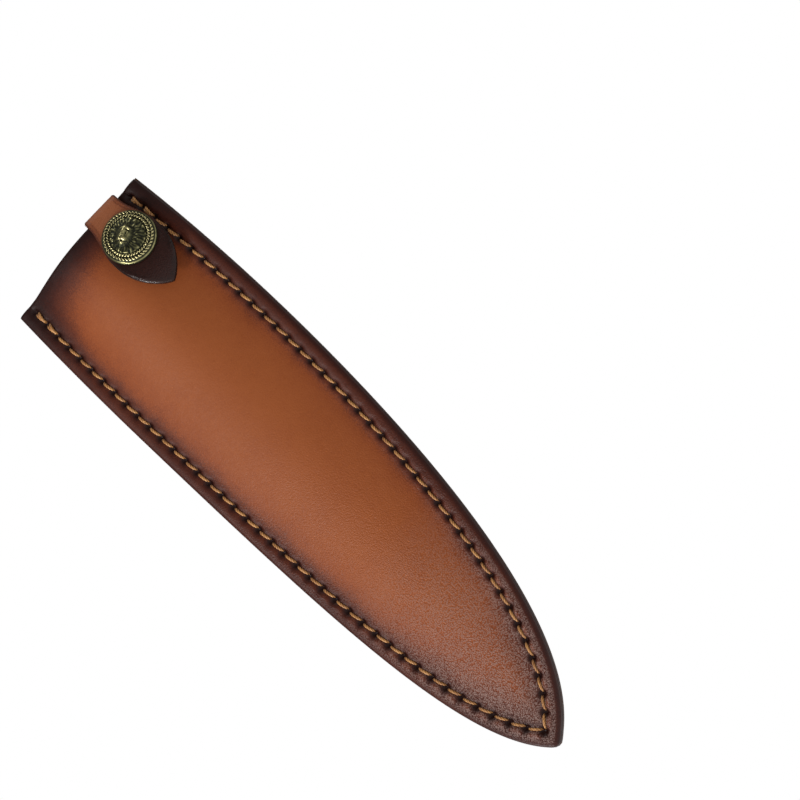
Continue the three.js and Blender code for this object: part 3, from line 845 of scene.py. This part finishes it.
def snap_parts():
    inner = STRAP / 2
    outer = CAP_SEAT
    seat = STUD_SEAT
    post_seat = seat + 1.9
    parts = (
        ("cap_post", "flap", [
            (0, outer - 1.1), (1.6, outer - 1.1), (1.6, inner + 0.9), (2.4, inner + 0.9),
            (2.5, inner + 1.1), (1.6, inner + 1.25), (0.9, inner + 0.7), (0, inner + 0.7),
        ]),
        ("socket", "flap", [
            (1.8, inner), (4.7, inner), (5.1, inner + 0.35), (5.1, inner + 1.9), (4.75, inner + 2.2),
            (3.5, inner + 2.2), (3.5, inner + 2.08), (4.1, inner + 2.02), (4.1, inner + 1.4),
            (3.5, inner + 1.35), (3.5, inner + 0.85), (1.8, inner + 0.85), (1.8, inner),
        ]),
        ("stud", "sheath", [
            (0, inner + 1.3), (1.7, inner + 1.32), (2.35, inner + 1.6), (2.4, inner + 1.95),
            (2.1, inner + 2.3), (2.1, seat - 0.6), (4.2, seat - 0.45), (4.4, seat - 0.05),
            (1.3, seat - 0.05), (1.3, inner + 1.8), (0, inner + 1.8),
        ]),
        ("stud_post", "sheath", [
            (0, inner + 2.1), (1.1, inner + 2.1), (1.1, post_seat + 0.05),
            (4, post_seat + 0.05), (4.1, post_seat + 0.4), (0, post_seat + 0.6),
        ]),
    )
    for name, body, profile in parts:
        node = "snap_" + name
        round_piece(node + "_turned", profile, SNAP, FLAP_X, FLAP_IN, node, body)
    angle = np.linspace(0.35, 2 * math.pi - 0.35, 60)[:, None]
    around = np.cos(angle) * FLAP_X + np.sin(angle) * np.cross(FLAP_X, FLAP_IN)
    ring = SNAP + 3.68 * around + (inner + 1.73) * FLAP_IN
    shape = Shape()
    verts, faces, _ = twisted_tube(ring, FLAP_IN, 0.24, sides=10, turns_per_mm=0)
    shape.add(verts, faces)
    shape.piece("snap_spring_ring", [PLAIN_BRASS], "plain_brass", ["snap_spring"], "flap")


# ---- decorated snap cap ----
def bump(p, q, x, y, wide, tall, height, turn):
    """A smooth raised or sunk oval of the relief."""
    c, s = math.cos(turn), math.sin(turn)
    u, v = (p - x) * c + (q - y) * s, -(p - x) * s + (q - y) * c
    return height * np.exp(-((u / wide) ** 2) - (v / tall) ** 2)


def lion(p, q):
    """Relief of a lion's head, mm, in its own upright frame; it looks half left and a little down."""
    r = np.hypot(p, q)
    height = 1.9 * np.clip(1 - (r / 6.9) ** 2, 0, 1) ** 0.8
    head = np.hypot((p + 1.0 - 0.2 * q) / 3.0, (q + 0.1) / 4.0)
    inside = soft_under(head, 0.95, 0.12)
    spoke = np.arctan2(q + 0.3, p + 0.7)
    far = np.hypot(p + 0.7, q + 0.3)
    swirl = 0.55 * np.sin(1.7 * far + 1.3 * np.sin(3 * spoke)) + 0.25 * far
    locks = 0.13 * np.cos(15 * spoke + 2.6 * swirl) + 0.07 * np.cos(31 * spoke - 3.1 * swirl + 0.6)
    tufts = 0.1 * np.cos(2.9 * far + 2.1 * np.sin(7 * spoke))
    height += (1 - inside) * soft_under(r, 6.3, 0.12) * (0.25 + locks + tufts)
    height += inside * 1.9 * np.sqrt(np.clip(1.15 - head**2, 0, 1))
    # place, half sizes, height and turn of each raised or sunk feature
    for x, y, wide, tall, lift, turn in (
        (0.55, 1.9, 1.1, 0.5, 0.6, -0.35),  # brow, near eye
        (-1.9, 2.0, 0.8, 0.45, 0.5, 0.35),  # brow, far eye
        (-0.5, 3.0, 1.1, 0.8, 0.35, 0.0),  # forehead
        (-1.1, 0.7, 0.85, 1.9, 1.0, -0.3),  # bridge of the nose
        (-1.75, -0.8, 0.95, 0.5, 0.75, 0.0),  # nose
        (-2.5, -1.75, 0.85, 0.7, 0.7, 0.2),  # muzzle, far half
        (-0.85, -1.85, 1.05, 0.8, 0.85, -0.2),  # muzzle, near half
        (-1.5, -3.2, 0.9, 0.5, 0.65, 0.0),  # chin
        (0.9, -0.5, 0.75, 1.0, 0.45, 0.2),  # cheek
        (2.3, 2.9, 0.75, 0.7, 0.7, -0.5),  # near ear
        (-2.9, 3.4, 0.6, 0.6, 0.5, 0.4),  # far ear
        (0.25, 1.15, 0.5, 0.26, -0.75, -0.45),  # near eye
        (-2.0, 1.25, 0.34, 0.24, -0.5, 0.4),  # far eye
        (0.0, 0.1, 0.32, 0.9, -0.4, -0.2),  # hollow beside the nose
        (-1.6, -2.55, 1.35, 0.2, -0.8, -0.05),  # mouth
        (-1.75, -1.75, 0.15, 0.6, -0.5, 0.0),  # cleft
        (-2.1, -0.95, 0.2, 0.16, -0.4, 0.0),  # far nostril
        (-1.3, -0.98, 0.22, 0.16, -0.45, 0.0),  # near nostril
        (2.35, 2.95, 0.3, 0.35, -0.5, -0.5),  # hollow of the ear
    ):
        height += bump(p, q, x, y, wide, tall, lift, turn)
    return height


def rope(r, angle, ring, slant, height):
    """A ring of slanted beads."""
    across = np.clip(1 - ((r - ring) / ROPE_HALF) ** 2, 0, None) ** 0.5
    wave = np.abs(np.cos(ROPE_BEADS / 2 * angle + slant * (r - ring)))
    return height * across * (0.35 + 0.65 * wave**0.7)


def snap_cap():
    rings = 0.06 + np.arange(86) * 0.105
    rim_rings = [CAP_RIM, 9.25, 9.36, 9.44, 9.49, CAP_RADIUS, CAP_RADIUS, 9.46, 9.36]
    rings = np.concatenate([rings[rings < 9.1], rim_rings])
    angle = np.linspace(0, 2 * math.pi, 420, endpoint=False)
    r, a = np.meshgrid(rings, angle, indexing="ij")
    x, z = r * np.cos(a), r * np.sin(a)
    q = x * math.sin(LION_TURN) + z * math.cos(LION_TURN)
    p = x * math.cos(LION_TURN) - z * math.sin(LION_TURN)
    floor = 1.7 + 0.5 * np.clip((7.9 - r) / 1.3, 0, 1) + 0.12 * fade(r - CAP_SHOULDER, 0.25)
    height = floor + soft_under(r, LION_RADIUS, 0.08) * (0.1 + LION_DEPTH * lion(p, q))
    for ring, slant, tall in ROPES:
        height += rope(r, a, ring, slant, tall)
    height -= 0.6 * np.clip((r - 7.9) / 1.6, 0, 1) ** 1.7
    rim = 1 - np.clip((r - CAP_RIM) / (CAP_RADIUS - CAP_RIM), 0, 1) ** 2
    height = np.where(r > CAP_RIM, 0.25 + (height - 0.25) * np.sqrt(np.clip(rim, 0, 1)), height)
    height[-3:] = np.array([0.2, 0.06, 0.0])[:, None]
    place = SNAP + x[..., None] * FLAP_X - z[..., None] * FLAP_DOWN
    place = place + (CAP_SEAT - height)[..., None] * FLAP_IN
    top_height = floor[0, 0] + 0.1 + LION_DEPTH * lion(np.zeros(1), np.zeros(1))[0]
    centres = [SNAP + (CAP_SEAT - top_height) * FLAP_IN, SNAP + CAP_SEAT * FLAP_IN]
    rows, cols = r.shape
    first_ring = np.arange(cols)
    faces = [grid_faces(rows, cols, wrap=True)]
    faces += fan(rows * cols, first_ring, -1) + fan(rows * cols + 1, first_ring + (rows - 1) * cols)
    blurred = height
    for _ in range(14):
        padded = np.vstack([blurred[:1], blurred, blurred[-1:]])
        beside = np.roll(blurred, 2, 1) + np.roll(blurred, -2, 1)
        blurred = (padded[:-2] + padded[2:] + 2 * blurred + beside) / 6
    # The hollows darken with the brass's patina; the highest points of the relief are lightened: painted
    # highlight.
    painted_highlight = np.clip((height - 4.3) / 1.2, 0, 1)
    cavity = np.clip((blurred - height) * 5.0 - 0.3 * painted_highlight + 0.15, -1, 1)
    verts = np.vstack([place.reshape(-1, 3), *centres])
    rest = np.vstack([np.stack([x, height, z], -1).reshape(-1, 3), np.zeros((2, 3))])
    shape = Shape()
    shape.add(verts, faces, rest, cavity=np.append(cavity, [0, 0]))
    shape.piece("snap_concho", [ANTIQUE_BRASS], "antique_brass", ["snap_cap"], "flap", sharp=180)


# ---- materials ----
class Tree:
    """A material's node tree, built by naming nodes and their inputs."""

    def __init__(self, name):
        self.material = bpy.data.materials.new(name)
        self.material.use_nodes = True
        self.tree = self.material.node_tree
        self.shader = self.tree.nodes["Principled BSDF"]

    def node(self, kind, inputs=None, **settings):
        node = self.tree.nodes.new("ShaderNode" + kind)
        for key, value in settings.items():
            setattr(node, key, value)
        self.set(node, inputs or {})
        return node

    def set(self, node, inputs):
        for key, value in inputs.items():
            if isinstance(value, bpy.types.NodeSocket):
                self.tree.links.new(value, node.inputs[key])
            else:
                node.inputs[key].default_value = value

    def layer(self, name, output="Fac"):
        return self.node("Attribute", attribute_name=name).outputs[output]

    def noise(self, vector, scale, detail=4, roughness=0.55, distortion=0.0):
        inputs = {"Vector": vector, "Scale": scale, "Detail": detail}
        inputs |= {"Roughness": roughness, "Distortion": distortion}
        return self.node("TexNoise", inputs).outputs["Fac"]

    def math(self, operation, a, b=0.0, clamp=False):
        return self.node("Math", {0: a, 1: b}, operation=operation, use_clamp=clamp).outputs[0]

    def weigh(self, a, b, share):
        """a by its share plus b by the rest."""
        return self.math("ADD", self.math("MULTIPLY", a, share), self.math("MULTIPLY", b, 1 - share))

    def spread(self, value, low, high, to_low=0.0, to_high=1.0):
        """A value between low and high, spread from to_low to to_high and held at those ends."""
        inputs = {"Value": value, "From Min": low, "From Max": high, "To Min": to_low, "To Max": to_high}
        return self.node("MapRange", inputs).outputs[0]

    def ramp(self, value, stops):
        node = self.node("ValToRGB", {"Fac": value})
        elements = node.color_ramp.elements
        while len(elements) < len(stops):
            elements.new(0.5)
        for element, (place, color) in zip(elements, stops):
            element.position = place
            element.color = (*color, 1)
        return node.outputs["Color"]

    def mix(self, share, a, b):
        """Colour socket a, with a share of the plain colour b."""
        return self.node("Mix", {0: share, 6: a, 7: (*b, 1)}, data_type="RGBA").outputs[2]

    def bump(self, height, strength, distance, normal=None):
        inputs = {"Height": height, "Strength": strength, "Distance": distance}
        if normal:
            inputs["Normal"] = normal
        return self.node("Bump", inputs).outputs["Normal"]

    def surface(self, color, roughness, normal, constants=()):
        """Drive the shader's main inputs, set the constants on its own sockets and give the material."""
        inputs = {"Base Color": color, "Roughness": roughness, "Normal": normal}
        self.set(self.shader, inputs | dict(constants))
        return self.material


def leather(name, tones, rough, shine):
    """Stained pebbled leather: tones from light to burnt, roughness, and how far burns lower it."""
    t = Tree(name)
    place = t.layer("rest", "Vector")
    burn, relief = t.layer("burn"), t.layer("relief")
    broad = t.noise(place, 0.045, 3)
    patch = t.noise(place, 0.28, 4, 0.6)
    speck = t.noise(place, 2.2, 3, 0.6)
    shade = t.math("ADD", burn, t.spread(broad, 0.3, 0.7, -0.06, 0.06))
    shade = t.math("ADD", shade, t.spread(patch, 0.3, 0.7, -0.027, 0.027))
    cells, creases = (
        t.node("TexVoronoi", {"Vector": place, "Scale": 1 / GRAIN, "Randomness": 0.95}, feature=feature)
        for feature in ("F1", "DISTANCE_TO_EDGE")
    )
    shade = t.math("ADD", shade, t.spread(creases.outputs["Distance"], 0.0, 0.16, 0.12, 0.0))
    shade = t.math("ADD", shade, t.spread(speck, 0.35, 0.65, -0.05, 0.05))
    # The cavity layer darkens the stitch holes: painted shade.
    shade = t.math("ADD", shade, t.math("MULTIPLY", t.layer("cavity"), 0.5), clamp=True)
    pebble = t.math("SUBTRACT", 1.0, t.math("POWER", cells.outputs["Distance"], 1.6))
    # The grain's tops towards the tip are mixed towards a pale grey: painted sheen.
    sheen_tops = t.math("MULTIPLY", t.spread(pebble, 0.5, 0.95), t.spread(relief, 0.62, 1.0, 0.0, 0.72))
    color = t.mix(sheen_tops, t.ramp(shade, tones), PAINTED_SHEEN)
    rough = t.spread(t.noise(place, 0.9, 3), 0.3, 0.7, rough - 0.05, rough + 0.08)
    rough = t.math("SUBTRACT", rough, t.math("MULTIPLY", burn, shine))
    rough = t.math("ADD", rough, t.spread(relief, 0.1, 1.0, 0.08, -0.02))
    soft = t.bump(t.noise(place, 0.35, 3), 0.12, 0.0005)
    grained = t.bump(pebble, relief, 0.00016, soft)
    fine = t.bump(t.noise(place, 5.5, 3, 0.7), t.math("MULTIPLY", relief, 0.5), 0.00006, grained)
    return t.surface(color, rough, fine, {"Specular IOR Level": 0.25})


def flesh_side():
    t = Tree("flesh_side")
    place = t.layer("rest", "Vector")
    nap = t.noise(place, 3.0, 6, 0.75, 0.4)
    fibre = t.noise(place, 0.5, 5, 0.7)
    color = t.ramp(t.weigh(nap, fibre, 0.5), (
        (0.3, (0.075, 0.032, 0.017)), (0.5, (0.14, 0.062, 0.032)), (0.7, (0.21, 0.10, 0.055)),
    ))
    constants = {"Specular IOR Level": 0.25, "Sheen Weight": 0.25, "Sheen Roughness": 0.5}
    return t.surface(color, 0.92, t.bump(nap, 0.7, 0.0002), constants)


def burnished_edge():
    t = Tree("burnished_edge")
    place = t.layer("rest", "Vector")
    stretched = t.node("Mapping", {"Vector": place, "Scale": (0.5, 3.0, 0.5)}).outputs[0]
    lines = t.noise(stretched, 1.0, 5, 0.65)
    blotch = t.noise(place, 0.25, 4)
    color = t.ramp(t.weigh(lines, blotch, 0.5), (
        (0.3, (0.014, 0.006, 0.005)), (0.5, (0.032, 0.012, 0.009)), (0.7, (0.060, 0.024, 0.017)),
    ))
    rough = t.spread(blotch, 0.3, 0.7, 0.34, 0.5)
    return t.surface(color, rough, t.bump(lines, 0.2, 0.00005), {"Specular IOR Level": 0.3})


def waxed_thread():
    t = Tree("waxed_thread")
    place = t.layer("rest", "Vector")
    fluff = t.noise(place, 6.0, 4, 0.7)
    # The cavity layer darkens the grooves between the plies and the ends at the holes: painted shade.
    # The knots are darker as well.
    painted_shade_and_knots = t.math("ADD", t.layer("cavity"), t.math("MULTIPLY", t.layer("burn"), 0.3))
    fading = t.spread(t.noise(place, 0.5, 3), 0.3, 0.7, -0.05, 0.22)
    shade = t.math("ADD", t.math("MULTIPLY", painted_shade_and_knots, 0.6), fading, clamp=True)
    color = t.ramp(shade, (
        (0.0, (0.70, 0.36, 0.105)), (0.3, (0.46, 0.20, 0.055)),
        (0.6, (0.20, 0.075, 0.022)), (1.0, (0.04, 0.015, 0.008)),
    ))
    return t.surface(color, 0.45, t.bump(fluff, 0.5, 0.00006), {"Sheen Weight": 0.1})


def antique_brass():
    t = Tree("antique_brass")
    place = t.layer("rest", "Vector")
    blotch = t.noise(place, 0.55, 5, 0.65)
    grain = t.noise(place, 4.0, 4, 0.6)
    # The cavity layer is the patina in the hollows, with a painted highlight on the highest points.
    cavity = t.math("ADD", t.layer("cavity"), t.spread(blotch, 0.3, 0.7, -0.12, 0.22))
    color = t.ramp(t.math("ADD", cavity, 0.45, clamp=True), (
        (0.0, (0.60, 0.53, 0.26)), (0.28, (0.27, 0.25, 0.115)),
        (0.5, (0.10, 0.098, 0.048)), (0.8, (0.018, 0.019, 0.011)),
    ))
    rough = t.spread(cavity, -0.3, 0.5, 0.27, 0.62)
    metal = t.spread(cavity, 0.1, 0.7, 1.0, 0.55)
    return t.surface(color, rough, t.bump(grain, 0.3, 0.00006), {"Metallic": metal})


def plain_brass():
    t = Tree("plain_brass")
    place = t.layer("rest", "Vector")
    blotch = t.noise(place, 0.6, 4)
    mapping = {"Vector": place, "Scale": (6.0, 1.0, 0.8), "Rotation": (0, 0.5, 0)}
    scratch = t.noise(t.node("Mapping", mapping).outputs[0], 2.0, 5, 0.75)
    color = t.ramp(t.weigh(blotch, scratch, 0.7), (
        (0.3, (0.42, 0.33, 0.14)), (0.55, (0.60, 0.48, 0.23)), (0.75, (0.72, 0.60, 0.33)),
    ))
    rough = t.spread(blotch, 0.3, 0.7, 0.26, 0.42)
    return t.surface(color, rough, t.bump(scratch, 0.2, 0.00004), {"Metallic": 1.0})


TAN = (
    (0.0, (0.345, 0.088, 0.020)), (0.25, (0.275, 0.062, 0.014)), (0.5, (0.115, 0.024, 0.009)),
    (0.75, (0.052, 0.0095, 0.0045)), (1.0, (0.020, 0.004, 0.0025)),
)
STRAP_TAN = (
    (0.0, (0.38, 0.122, 0.048)), (0.25, (0.28, 0.078, 0.028)), (0.5, (0.110, 0.029, 0.014)),
    (0.75, (0.038, 0.011, 0.008)), (1.0, (0.010, 0.0045, 0.0035)),
)
# Pale grey mixed into the grain's tops towards the tip: painted sheen.
PAINTED_SHEEN = (0.37, 0.25, 0.215)
GRAIN = 0.5  # size of a pebble
PANEL_LEATHER = leather("panel_leather", TAN, 0.39, 0.06)
STRAP_LEATHER = leather("strap_leather", STRAP_TAN, 0.55, 0.42)
FLESH = flesh_side()
EDGE = burnished_edge()
THREAD = waxed_thread()
ANTIQUE_BRASS = antique_brass()
PLAIN_BRASS = plain_brass()
PANEL_LOOKS = [PANEL_LEATHER, FLESH, EDGE]  # of the outer side, the inner side and the edge
STRAP_LOOKS = [STRAP_LEATHER, FLESH, EDGE]


# ---- camera, light and floor ----
AIM = Vector((0.0388, -0.010, -0.0720))
AZIMUTH, ELEVATION, ROLL = math.radians(17.2), math.radians(-11.6), math.radians(-46.7)
CAMERA_AWAY = 3.0
VIEW_WIDTH = 0.2609
MIDDLE = Vector((0, 0, -0.07))


def camera_axes():
    """Right, up and backward of the camera, turned about its view by the roll."""
    level_part = math.cos(ELEVATION)
    back = Vector((math.sin(AZIMUTH) * level_part, -math.cos(AZIMUTH) * level_part, math.sin(ELEVATION)))
    level = Vector((0, 0, 1)).cross(back).normalized()
    over = back.cross(level)
    right = math.cos(ROLL) * level + math.sin(ROLL) * over
    up = math.cos(ROLL) * over - math.sin(ROLL) * level
    return right, up, back


def add_camera():
    data = bpy.data.cameras.new("camera")
    camera = add_object("camera", data)
    bpy.context.scene.camera = camera
    right, up, back = camera_axes()
    turn = Matrix((right, up, back)).transposed().to_4x4()
    camera.matrix_world = Matrix.Translation(AIM + back * CAMERA_AWAY) @ turn
    data.sensor_width = 36
    data.lens = data.sensor_width * CAMERA_AWAY / VIEW_WIDTH
    data.clip_end = 100


def add_softbox(name, direction, away, size, power):
    """A round area light, as far away from the object's middle as given, in metres and watts."""
    data = bpy.data.lights.new(name, "AREA")
    data.shape = "DISK"
    data.size = size
    data.energy = power
    light = add_object(name, data)
    direction = Vector(direction).normalized()
    light.location = MIDDLE + direction * away
    light.rotation_mode = "QUATERNION"
    light.rotation_quaternion = direction.to_track_quat("Z", "Y")
    light.visible_camera = False


def add_world():
    """White behind the object, and a weaker white that lights it."""
    world = bpy.data.worlds.new("studio")
    bpy.context.scene.world = world
    world.use_nodes = True
    tree = world.node_tree
    seen = tree.nodes["Background"]
    seen.inputs["Color"].default_value = (1, 1, 1, 1)
    lit = tree.nodes.new("ShaderNodeBackground")
    lit.inputs["Color"].default_value = (1, 1, 1, 1)
    lit.inputs["Strength"].default_value = 0.24
    choose = tree.nodes.new("ShaderNodeMixShader")
    path = tree.nodes.new("ShaderNodeLightPath")
    tree.links.new(path.outputs["Is Camera Ray"], choose.inputs[0])
    tree.links.new(lit.outputs[0], choose.inputs[1])
    tree.links.new(seen.outputs[0], choose.inputs[2])
    tree.links.new(choose.outputs[0], tree.nodes["World Output"].inputs["Surface"])


def add_floor():
    mesh = bpy.data.meshes.new("floor")
    half, low = 20.0, -1.2
    corners = [(x * half, y * half, low) for x, y in ((-1, -1), (1, -1), (1, 1), (-1, 1))]
    mesh.from_pydata(corners, [], [(0, 1, 2, 3)])
    floor = add_object("floor", mesh)
    t = Tree("floor_paint")
    t.set(t.shader, {"Base Color": (0.9, 0.9, 0.9, 1), "Roughness": 0.9,
                     "Emission Color": (1, 1, 1, 1), "Emission Strength": 0.4})
    mesh.materials.append(t.material)


def main():
    front_panel()
    back_panel()
    welt()
    seam_thread("front_stitches", -1, front_base, NEEDLE_RADIUS, 0.28, 0.75, "needle_thread")
    seam_thread("back_stitches", 1, lambda flat: np.full(len(flat), FACE), BOBBIN_RADIUS, 0.2, 0.2,
                "bobbin_thread", knots=True)
    belt_loop()
    snap_strap()
    rivets()
    snap_parts()
    snap_cap()
    add_camera()
    add_softbox("key", (-0.61, -0.79, 0.02), 0.62, 0.13, 1.43)
    add_softbox("below", (-0.85, -0.22, -0.48), 1.9, 0.36, 16)
    add_softbox("top", (0.3, -0.1, 1.0), 1.9, 1.1, 10)
    add_softbox("back", (-0.3, 0.9, 0.3), 1.9, 0.9, 12)
    add_world()
    add_floor()
    bpy.context.scene.view_settings.view_transform = "Standard"


main()
